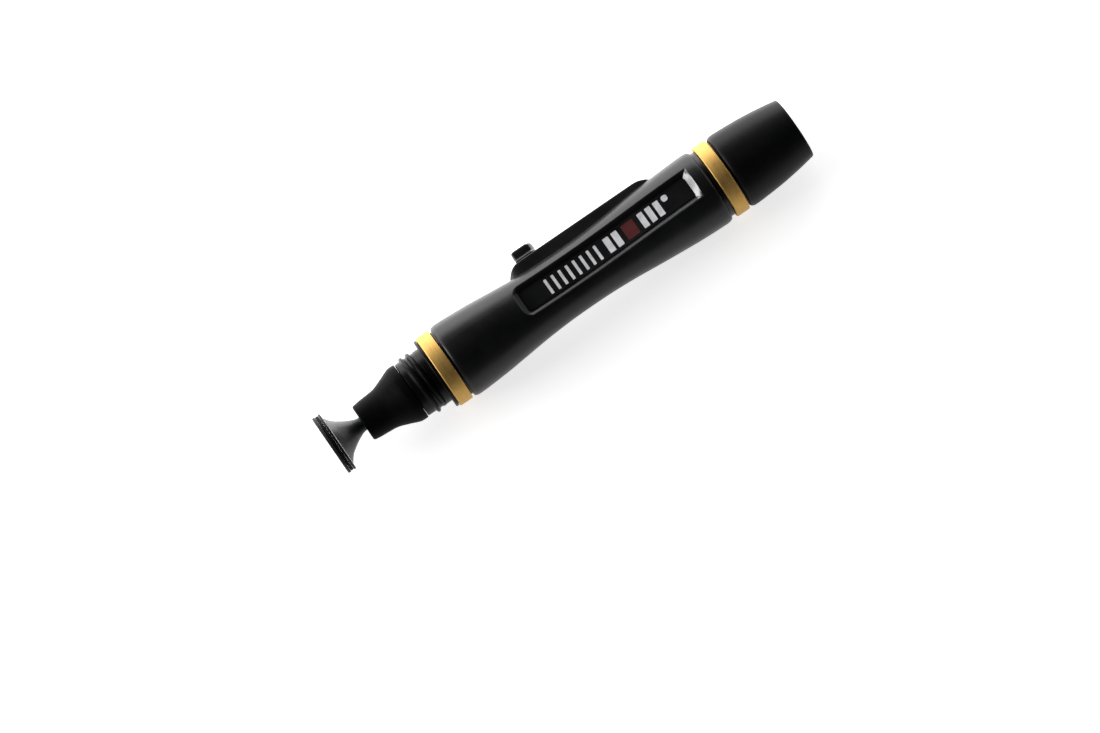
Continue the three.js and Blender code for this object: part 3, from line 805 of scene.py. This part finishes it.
def ring_points(x0, x1, inner, outer, edge=0.22, crown=0.03):
    pts = [(x0, inner, 0.05), (x0, outer - 0.02, edge), (x1, outer - 0.02, edge), (x1, inner, 0.05)]
    out = rounded([(x0, (inner + outer) / 2), *pts[1:3], (x1, (inner + outer) / 2)], 6)
    prof = [(x0, inner)] + out + [(x1, inner)]
    res = []
    for a, b in zip(prof[:-1], prof[1:]):
        res.append(a)
        if abs(a[1] - b[1]) < 1e-6 and b[0] - a[0] > 1:      # slightly crowned band
            for k in range(1, 10):
                t = k / 10
                res.append((a[0] + (b[0] - a[0]) * t, a[1] + crown * math.sin(math.pi * t)))
    res.append(prof[-1])
    return res


turned_piece("neck_trim_ring", ["neck_ring"], "pen_body", ring_points(-1.29, 1.72, 6.0, 8.03), GOLD, 220)
turned_piece("brush_trim_ring", ["brush_ring"], "pen_body", ring_points(65.25, 68.22, 5.9, 8.16), GOLD, 220)

# nose cone
nose_f, nose_pts = spline([(-18.75, 3.98), (-17.8, 4.15), (-16.2, 4.27), (-14.7, 4.38), (-13.8, 4.52), (-13.0, 4.76),
                           (-11.9, 5.18), (-11.0, 5.53), (-10.3, 5.83), (-9.6, 6.10)], 0.25)
nose_outer = [(-17.5, 1.95), *rounded([(-19.0, 1.95), (-19.21, 2.1, 0.12), (-19.21, 3.98, 0.55), (-18.3, 4.06)], 7)[1:-1],
              *nose_pts[2:], (-9.35, 6.18), (-9.05, 6.225), (-8.6, 6.24), (-8.1, 6.24), (-7.86, 6.235), (-7.76, 6.19), (-7.72, 6.08),
              (-7.72, 4.15), (-1.1, 4.15), (-1.0, 4.05), (-1.0, 2.6), (-17.4, 2.6), (-17.5, 2.5)]
turned_piece("nose_shell", ["nose_cone"], "pen_body", nose_outer, NOSE_SHADED, 160)


def make_neck():
    """Neck with a rounded helical thread, a plain collar and the cap's seat."""
    seg = 192
    root, crest, pitch = 6.06, 6.64, 1.58
    x_start, turns = -6.75, 2.0

    def r_at(x, t):
        base = root
        if x > -3.32:
            s = min(1.0, (x + 3.32) / 0.14)
            base = root + (6.15 - root) * s * s * (3 - 2 * s)
        best = 0.0
        for n in range(-1, 5):
            u = (t - math.radians(217.5)) / (2 * math.pi) + n
            if u < -0.02 or u > turns + 0.02:
                continue
            d = abs(x - (x_start + pitch * u))
            grown = min(1.0, max(0.0, min(u, turns - u) * 5 + 0.02))
            f = (0.60 - d) / 0.42
            f = max(0.0, min(1.0, f))
            f = f * f * (3 - 2 * f)
            best = max(best, f * grown)
        return base + (crest - root) * best

    prof = [(-7.6, 5.86), (-7.56, 5.95), (-7.48, 6.03), (-7.36, root)]
    xs = list(np.arange(-7.3, -2.9, 0.055))
    verts, rows = [], []

    def row(x, fn):
        rows.append(list(range(len(verts), len(verts) + seg)))
        for k in range(seg):
            t = 2 * math.pi * k / seg
            r = fn(t)
            verts.append((x, r * math.cos(t), r * math.sin(t)))

    for x, r in prof:
        row(x, lambda t, r=r: r)
    for x in xs:
        row(x, lambda t, x=x: r_at(x, t))
    tail = rounded([(-2.8, 6.15), (-1.98, 6.15, 0.1), (-1.98, 7.72, 0.12), (-1.40, 7.72, 0.12), (-1.40, 5.9, 0), (1.7, 5.9, 0),
                    (1.7, 5.4, 0), (9.35, 5.4, 0), (9.5, 5.25, 0), (9.5, 3.2, 0), (-0.8, 3.2, 0), (-0.8, 4.25, 0), (-7.5, 4.25, 0)], 5)
    for x, r in tail + [(-7.6, 4.35)]:
        row(x, lambda t, r=r: r)
    faces = []
    n = len(rows)
    for i in range(n):
        a, b = rows[i], rows[(i + 1) % n]
        for k in range(seg):
            k2 = (k + 1) % seg
            faces.append((a[k], a[k2], b[k2], b[k]))
    obj = new_mesh("neck_thread", verts, faces, mats=(NECK,))
    sharpen(obj, 40)
    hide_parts("threaded_neck")
    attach(obj, "pen_body")


make_neck()

# brush shroud
shroud_f, shroud_pts = spline([(70.0, 8.30), (70.9, 8.28), (72.1, 8.215), (73.3, 8.15), (74.5, 8.065), (75.6, 7.985), (76.8, 7.875),
                               (78.0, 7.74), (79.2, 7.585), (80.4, 7.42), (81.6, 7.235), (82.8, 7.03), (83.6, 6.88)], 0.4)
shroud_outer = [(68.32, 5.9), (68.32, 7.36), (68.36, 7.4), (68.6, 7.4), (68.62, 7.72), (68.68, 7.86), (68.8, 8.0), (69.0, 8.13),
                (69.3, 8.24), (69.65, 8.29)] + shroud_pts + rounded(
    [(83.6, 6.88), (84.55, 6.70, 0.35), (84.55, 5.5, 0.12), (84.2, 5.35), (83.9, 5.2)], 7)[1:] + [
    (70.2, 5.2), (70.1, 5.3), (70.1, 5.9)]
shroud_outer = [(x, r * FIT if r > 6 else r) for x, r in shroud_outer]
turned_piece("shroud_shell", ["brush_shroud"], "pen_body", shroud_outer, SHROUD, 200)

# rubber stem and trumpet: one moulding, drawn as two blended pieces that meet in
# the rigid middle of the link
MID = -19.7
stem_f, stem_pts = spline([(-25.15, 5.42), (-24.95, 5.08), (-24.5, 4.46), (-23.96, 3.86), (-23.0, 3.16), (-21.8, 2.40),
                           (-20.85, 1.93), (-20.2, 1.66), (-19.7, 1.53), (-19.2, 1.47), (-18.6, 1.45), (-17.4, 1.45)], 0.12)
stem_low = [p for p in stem_pts if p[0] > MID + 0.01]
stem_high = [p for p in stem_pts if p[0] < MID - 0.01]
r_mid = stem_f(MID)
low_outline = [(MID, 0), (MID, r_mid)] + stem_low + [(-17.3, 1.5), (-17.29, 2.45), (-17.2, 2.5), (-6.3, 2.5), (-6.2, 2.4), (-6.2, 0.9), (-4.2, 0.9), (-4.0, 0.7), (-4.0, 0)]
stem = lathe("tip_stem", low_outline, 128, mats=(RUBBER,), closed=False)
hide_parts("tip_stem_base", "tip_stem_link")
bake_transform(stem)
high_outline = [(-25.2, 0), (-25.2, 5.2), (-25.2, 5.36), (-25.18, 5.42)] + stem_high + [(MID, r_mid), (MID, 0)]
trumpet = lathe("tip_flare", high_outline, 160, mats=(RUBBER,), closed=False)
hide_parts("tip_trumpet")
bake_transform(trumpet)

turned_piece("tip_backing", ["tip_disc"], "tip_head",
             rounded([(-25.76, 0), (-25.76, 6.5, 0.14), (-25.24, 6.55, 0.2), (-25.24, 0)], 6), DISC_MAT, 180)
foam = turned_piece("tip_cushion", ["tip_foam"], "tip_head",
                    [(-26.42, 0), (-26.42, 6.2), (-26.38, 6.32), (-26.25, 6.38), (-26.1, 6.4), (-25.95, 6.38), (-25.82, 6.32), (-25.78, 6.2), (-25.78, 0)], FOAM, 180)
pad_pts = [(-26.98, 0)] + [(-26.98 - 0.10 * (r / 5.9) ** 2, r) for r in np.linspace(0.4, 5.9, 14)]
pad_pts += rounded([(-27.08, 5.9), (-27.1, 6.5, 0.24), (-26.44, 6.54, 0.12), (-26.44, 6.1)], 6)[1:] + [(-26.44, 0)]
pad = turned_piece("tip_face_pad", ["tip_pad"], "tip_head", pad_pts, NAP, 180)

# inner pieces
turned_piece("stem_washer", ["stem_retainer"], "pen_body", [(-6.0, 1.0), (-6.0, 2.45), (-5.95, 2.5), (-5.55, 2.5), (-5.5, 2.45), (-5.5, 1.0)], STEEL, 96)
turned_piece("bulkhead", ["bulkhead_plug"], "pen_body", rounded([(9.9, 0), (9.9, 3.85, 0.2), (12.6, 3.85, 0.2), (12.6, 3.0, 0.2), (11.0, 2.9, 0.2), (11.0, 0)], 4), INNER, 96)
turned_piece("sleeve", ["ring_sleeve"], "pen_body",
             rounded([(58.1, 4.9), (58.1, 5.8, 0.2), (70.0, 5.8, 0.2), (70.0, 4.9)], 4), INNER, 128)
turned_piece("bush", ["guide_bush"], "pen_body",
             rounded([(59.0, 4.3), (59.0, 4.8, 0.15), (63.0, 4.8, 0.15), (63.0, 3.75, 0.3), (59.0, 3.75, 0.3), (59.0, 4.3)], 4)[:-1], INNER, 128)
turned_piece("carriage_tube", ["brush_carriage"], "brush_slider",
             rounded([(21.5, 0), (21.5, 3.58, 0.3), (58.5, 3.58, 0.3), (58.5, 2.95, 0.1), (22.7, 2.95, 0.1), (22.7, 0)], 4), INNER, 128)
turned_piece("ferrule", ["brush_ferrule"], "brush_slider",
             rounded([(50.5, 2.68), (50.5, 2.84), (58.9, 2.84, 0.1), (59.15, 2.76, 0.1), (59.55, 2.76, 0.1), (59.8, 2.84, 0.1), (60.4, 2.84, 0.06),
                      (60.4, 2.66, 0.05), (50.5, 2.66)], 4)[1:], STEEL, 128)
turned_piece("root_resin", ["bristle_plug"], "brush_slider", rounded([(50.8, 0), (50.8, 2.55, 0.15), (52.8, 2.55, 0.15), (52.8, 0)], 4), RESIN, 96)


# ---------------------------------------------------------------- thumb knob
def loft(name, rings, mats, cap=True):
    """rings: lists of (x, y, z) of one length each, joined in order and capped."""
    verts = [p for r in rings for p in r]
    n = len(rings[0])
    faces = []
    for i in range(len(rings) - 1):
        for k in range(n):
            k2 = (k + 1) % n
            faces.append((i * n + k, i * n + k2, (i + 1) * n + k2, (i + 1) * n + k))
    if cap:
        faces.append(tuple(range(n)))
        faces.append(tuple(reversed(range((len(rings) - 1) * n, len(rings) * n))))
    return new_mesh(name, verts, faces, mats=mats)


def knob_ring(x_a, x_b, half, y, r, bow, n=8):
    """Outline in X and Z at height y: corners of radius r at x_a, a half ellipse of length bow at x_b."""
    r = min(r, half - 1e-3)
    bow = min(bow, (x_b - x_a) - r - 1e-3)
    out = []
    for k in range(2 * n + 2):
        a = math.pi / 2 - math.pi * k / (2 * n + 1)
        out.append((x_b - bow + bow * max(0.0, math.cos(a)) ** 0.9, y, half * math.sin(a)))
    for cz, a0 in ((-half + r, -90), (half - r, 180)):
        for k in range(n + 1):
            a = math.radians(a0 - 90 * k / n)
            out.append((x_a + r + r * math.cos(a), y, cz + r * math.sin(a)))
    return out


def make_knob():
    rings = []
    # (y, x_a, x_b, half width, corner radius)
    levels = [(5.52, 24.95, 27.15, 0.8, 0.1, 0.1), (8.93, 24.95, 27.15, 0.8, 0.1, 0.1), (8.97, 24.1, 28.3, 1.7, 0.4, 1.1),
              (9.0, 23.95, 28.5, 1.95, 0.45, 1.2), (9.04, 23.86, 28.58, 2.05, 0.5, 1.25), (9.10, 23.82, 28.63, 2.09, 0.5, 1.3),
              (9.13, 23.82, 28.64, 2.08, 0.5, 1.3), (9.50, 23.88, 28.60, 1.82, 0.5, 1.3), (9.55, 23.88, 28.60, 1.80, 0.5, 1.3),
              (9.64, 23.88, 28.60, 1.79, 0.5, 1.35), (9.80, 23.87, 28.61, 1.80, 0.5, 1.4), (10.1, 23.84, 28.63, 1.82, 0.5, 1.45),
              (10.5, 23.82, 28.66, 1.84, 0.5, 1.5), (10.85, 23.82, 28.65, 1.84, 0.5, 1.5), (11.06, 23.86, 28.60, 1.81, 0.5, 1.5),
              (11.21, 23.93, 28.51, 1.76, 0.48, 1.45), (11.33, 24.04, 28.37, 1.68, 0.45, 1.4), (11.41, 24.18, 28.17, 1.57, 0.4, 1.3),
              (11.45, 24.40, 27.9, 1.40, 0.35, 1.2)]
    for y, a, b, hw, r, bow in levels:
        rings.append(knob_ring(a, b, hw, y, r, bow))
    verts = [p for r in rings for p in r]
    n = len(rings[0])
    faces, shiny = [], []
    for i in range(len(rings) - 1):
        for k in range(n):
            k2 = (k + 1) % n
            faces.append((i * n + k, i * n + k2, (i + 1) * n + k2, (i + 1) * n + k))
            # the rounded brush-side end is polished
            end = levels[i][0] >= 9.0 and (verts[i * n + k][0] + verts[i * n + k2][0]) / 2 > 27.55
            shiny.append(1 if end else 0)
    faces.append(tuple(range(n)))
    faces.append(tuple(reversed(range((len(rings) - 1) * n, len(rings) * n))))
    obj = new_mesh("slider_knob", verts, faces, mats=(SATIN, GLOSS), face_mats=shiny + [0, 0])
    sharpen(obj, 50)
    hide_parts("thumb_knob")
    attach(obj, "brush_slider")
    # grip ridges across the top
    gv, gf = [], []
    for c in np.arange(24.86, 27.7, 0.54):
        base = len(gv)
        prof = [(-0.15, -0.06), (-0.11, 0.02), (-0.05, 0.045), (0.05, 0.045), (0.11, 0.02), (0.15, -0.06)]
        zs = [-1.32, -1.26, -1.1, 0, 1.1, 1.26, 1.32]
        for z in zs:
            s = 1.0 if abs(z) < 1.2 else (0.7 if abs(z) < 1.3 else 0.25)
            gv += [(c + dx * (0.6 + 0.4 * s), 11.445 + (dy if dy < 0 else dy * s), z) for dx, dy in prof]
        m = len(prof)
        for i in range(len(zs) - 1):
            for k in range(m):
                k2 = (k + 1) % m
                gf.append((base + i * m + k, base + i * m + k2, base + (i + 1) * m + k2, base + (i + 1) * m + k))
        gf.append(tuple(range(base, base + m)))
        gf.append(tuple(reversed(range(base + (len(zs) - 1) * m, base + len(zs) * m))))
    grip = new_mesh("knob_grip_ridges", gv, gf, mats=(SATIN,))
    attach(grip, "brush_slider")


make_knob()

# ----------------------------------------------------------------- slider key
def bevelled_block(name, boxes, mats, width=0.08):
    """Blocks with eased edges, joined into one piece: (x0, x1, y0, y1, half z)."""
    me = bpy.data.meshes.new(name)
    bm = bmesh.new()
    for x0, x1, y0, y1, h in boxes:
        vs = [bm.verts.new(P(x, y, z)) for x in (x0, x1) for y in (y0, y1) for z in (-h, h)]
        for f in ((0, 1, 3, 2), (4, 6, 7, 5), (0, 4, 5, 1), (2, 3, 7, 6), (0, 2, 6, 4), (1, 5, 7, 3)):
            bm.faces.new([vs[i] for i in f])
    bmesh.ops.recalc_face_normals(bm, faces=bm.faces)
    bmesh.ops.bevel(bm, geom=list(bm.edges), offset=width * MM, segments=3, profile=0.5, affect="EDGES")
    bm.to_mesh(me)
    bm.free()
    for m in mats:
        me.materials.append(m)
    me.polygons.foreach_set("use_smooth", np.full(len(me.polygons), True))
    obj = link(bpy.data.objects.new(name, me))
    return sharpen(obj, 50)


shoe = bevelled_block("slider_key", [(23.6, 24.78, 3.72, 7.5, 1.65), (27.32, 27.9, 3.72, 7.5, 1.65), (24.7, 33.6, 3.72, 5.38, 1.65),
                                     (27.8, 33.6, 5.3, 6.7, 1.65), (24.6, 28.6, 3.0, 3.8, 1.2),
                                     ], (INNER,))
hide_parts("slider_shoe")
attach(shoe, "brush_slider")


def make_leaf():
    verts, faces = [], []
    n = 32
    xa, xb = 28.05, 33.4
    for i in range(n + 1):
        t = i / n
        x = xa + (xb - xa) * t
        y = 6.78 + 0.66 * math.sin(math.pi * t) ** 2
        for z in (-1.3, 1.3):
            verts.append((x, y, z))
        for z in (-1.3, 1.3):
            verts.append((x, y + 0.15, z))
    for i in range(n):
        a, b = 4 * i, 4 * i + 4
        faces += [(a, a + 1, b + 1, b), (a + 2, b + 2, b + 3, a + 3), (a, b, b + 2, a + 2), (a + 1, a + 3, b + 3, b + 1)]
    faces += [(0, 2, 3, 1), (4 * n, 4 * n + 1, 4 * n + 3, 4 * n + 2)]
    obj = new_mesh("detent_leaf", verts, faces, mats=(BLUED,))
    sharpen(obj, 40)
    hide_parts("detent_spring")
    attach(obj, "brush_slider")


make_leaf()


# -------------------------------------------------------------------- bristles
def make_bristles():
    rng = np.random.default_rng(7)
    count, rings, sides = 1500, 7, 4
    tip_f = [(0, 82.6), (1.5, 82.5), (2.6, 82.0), (3.4, 81.3), (4.0, 80.3), (4.3, 79.2)]
    verts, faces, shade = [], [], []
    golden = math.pi * (3 - math.sqrt(5))
    for i in range(count):
        u = math.sqrt((i + 0.5) / count)
        a = i * golden + rng.normal(0, 0.05)
        root = 2.52 * u
        end = 4.22 * u ** 0.94
        wander = rng.normal(0, 0.09, 2)
        x_end = float(np.interp(end, [p[0] for p in tip_f], [p[1] for p in tip_f])) - abs(rng.normal(0, 0.35))
        sway = rng.normal(0, 0.12, 2)
        thick = 0.052 * rng.uniform(0.8, 1.2)
        tone = rng.uniform(0, 1)
        prev = len(verts)
        for k in range(rings):
            t = k / (rings - 1)
            x = 53.0 + (x_end - 53.0) * t
            # the outline the hairs fan out in, from the ferrule to the tip
            s = float(np.interp(x, [53, 60.4, 63.2, 66, 70, 75, 79, 83], [2.52, 2.52, 2.95, 3.32, 3.8, 4.2, 4.22, 4.22]))
            rad = (root * (1 - (s - 2.52) / 1.7) + end * (s - 2.52) / 1.7)
            bend = math.sin(math.pi * max(0.0, (x - 61) / 22)) if x > 61 else 0.0
            y = rad * math.cos(a) + sway[0] * bend + wander[0] * max(0.0, (x - 62) / 22)
            z = rad * math.sin(a) + sway[1] * bend + wander[1] * max(0.0, (x - 62) / 22)
            lim = s + 0.02
            rr = math.hypot(y, z)
            if rr > lim:
                y, z = y * lim / rr, z * lim / rr
            w = thick * (1.0 if t < 0.6 else 1.0 - 0.75 * (t - 0.6) / 0.4)
            for q in range(sides):
                b = math.pi / 4 + q * math.pi / 2
                verts.append((x, y + w * math.cos(b), z + w * math.sin(b)))
                shade.append(tone)
        for k in range(rings - 1):
            for q in range(sides):
                q2 = (q + 1) % sides
                a0, a1 = prev + k * sides, prev + (k + 1) * sides
                faces.append((a0 + q, a0 + q2, a1 + q2, a1 + q))
        faces.append(tuple(prev + (rings - 1) * sides + q for q in range(sides)))
        faces.append(tuple(prev + q for q in reversed(range(sides))))
    me = bpy.data.meshes.new("brush_hairs")
    pts = np.asarray(verts, float) * MM + np.array([OX, OY, OZ])
    me.from_pydata(pts.tolist(), [], faces)
    me.materials.append(HAIR)
    me.polygons.foreach_set("use_smooth", np.full(len(me.polygons), True))
    att = me.attributes.new("hair", "FLOAT", "POINT")
    att.data.foreach_set("value", np.asarray(shade, np.float32))
    me.update()
    obj = link(bpy.data.objects.new("brush_hairs", me))
    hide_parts("brush_bristles")
    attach(obj, "brush_slider")


make_bristles()

# ---------------------------------------------------------------------- stage
FLOOR_Z = -0.00002
fm = bpy.data.materials.new("floor_white")
fm.use_nodes = True
fnt = fm.node_tree
fb = fnt.nodes["Principled BSDF"]
fb.inputs["Base Color"].default_value = (0.82, 0.82, 0.82, 1)
fb.inputs["Roughness"].default_value = 0.9
fb.inputs["Specular IOR Level"].default_value = 0.1
fb.inputs["Emission Color"].default_value = (1, 1, 1, 1)
# painted light: the floor glows, more strongly on the rail's side of the pen, as if a pool of light lay there
fgeo = fnt.nodes.new("ShaderNodeNewGeometry")
fsep = fnt.nodes.new("ShaderNodeSeparateXYZ")
fnt.links.new(fgeo.outputs["Position"], fsep.inputs["Vector"])
floor_glow_ramp = fnt.nodes.new("ShaderNodeMapRange")
floor_glow_ramp.interpolation_type = "SMOOTHSTEP"
floor_glow_ramp.inputs["From Min"].default_value = 0.004
floor_glow_ramp.inputs["From Max"].default_value = 0.016
floor_glow_ramp.inputs["To Min"].default_value = 0.74
floor_glow_ramp.inputs["To Max"].default_value = 2.6
fnt.links.new(fsep.outputs["Y"], floor_glow_ramp.inputs["Value"])
fnt.links.new(floor_glow_ramp.outputs["Result"], fb.inputs["Emission Strength"])
fme = bpy.data.meshes.new("floor")
s = 3.0
fme.from_pydata([(-s, -s, FLOOR_Z), (s, -s, FLOOR_Z), (s, s, FLOOR_Z), (-s, s, FLOOR_Z)], [], [(0, 1, 2, 3)])
fme.materials.append(fm)
floor = link(bpy.data.objects.new("floor", fme))


def softbox(name, at, look, size_x, size_y, power, spread=180):
    d = bpy.data.lights.new(name, "AREA")
    d.shape = "RECTANGLE"
    d.size, d.size_y = size_x, size_y
    d.energy = power
    d.spread = math.radians(spread)
    o = link(bpy.data.objects.new(name, d))
    o.location = at
    o.rotation_mode = "QUATERNION"
    o.rotation_quaternion = (Vector(look) - Vector(at)).to_track_quat("-Z", "Y")
    return o


def radiance_power(rad, sx, sy):
    return rad * math.pi * sx * sy


# long strip on the rail side, low over the table: the broad highlight on the upper flank
softbox("key_strip", (0, 1.05, 0.26), (0, 0, 0.01), 2.2, 0.55, radiance_power(5.6, 2.2, 0.55))
# box over the tip end: lights the end wall of the label recess and the print
softbox("tip_box", (-1.03, 0.34, 0.37), (0, 0, 0.01), 0.62, 0.78, radiance_power(11.0, 0.62, 0.78))
# box at the brush end
softbox("brush_box", (1.15, 0.2, 0.3), (0, 0, 0.01), 0.95, 0.5, radiance_power(2.8, 0.95, 0.5))

world = bpy.data.worlds.new("studio")
world.use_nodes = True
world.node_tree.nodes["Background"].inputs["Color"].default_value = (0.9, 0.95, 1.0, 1)
world.node_tree.nodes["Background"].inputs["Strength"].default_value = 0.045
bpy.context.scene.world = world
bpy.context.scene.view_settings.view_transform = "Standard"
bpy.context.scene.view_settings.look = "None"
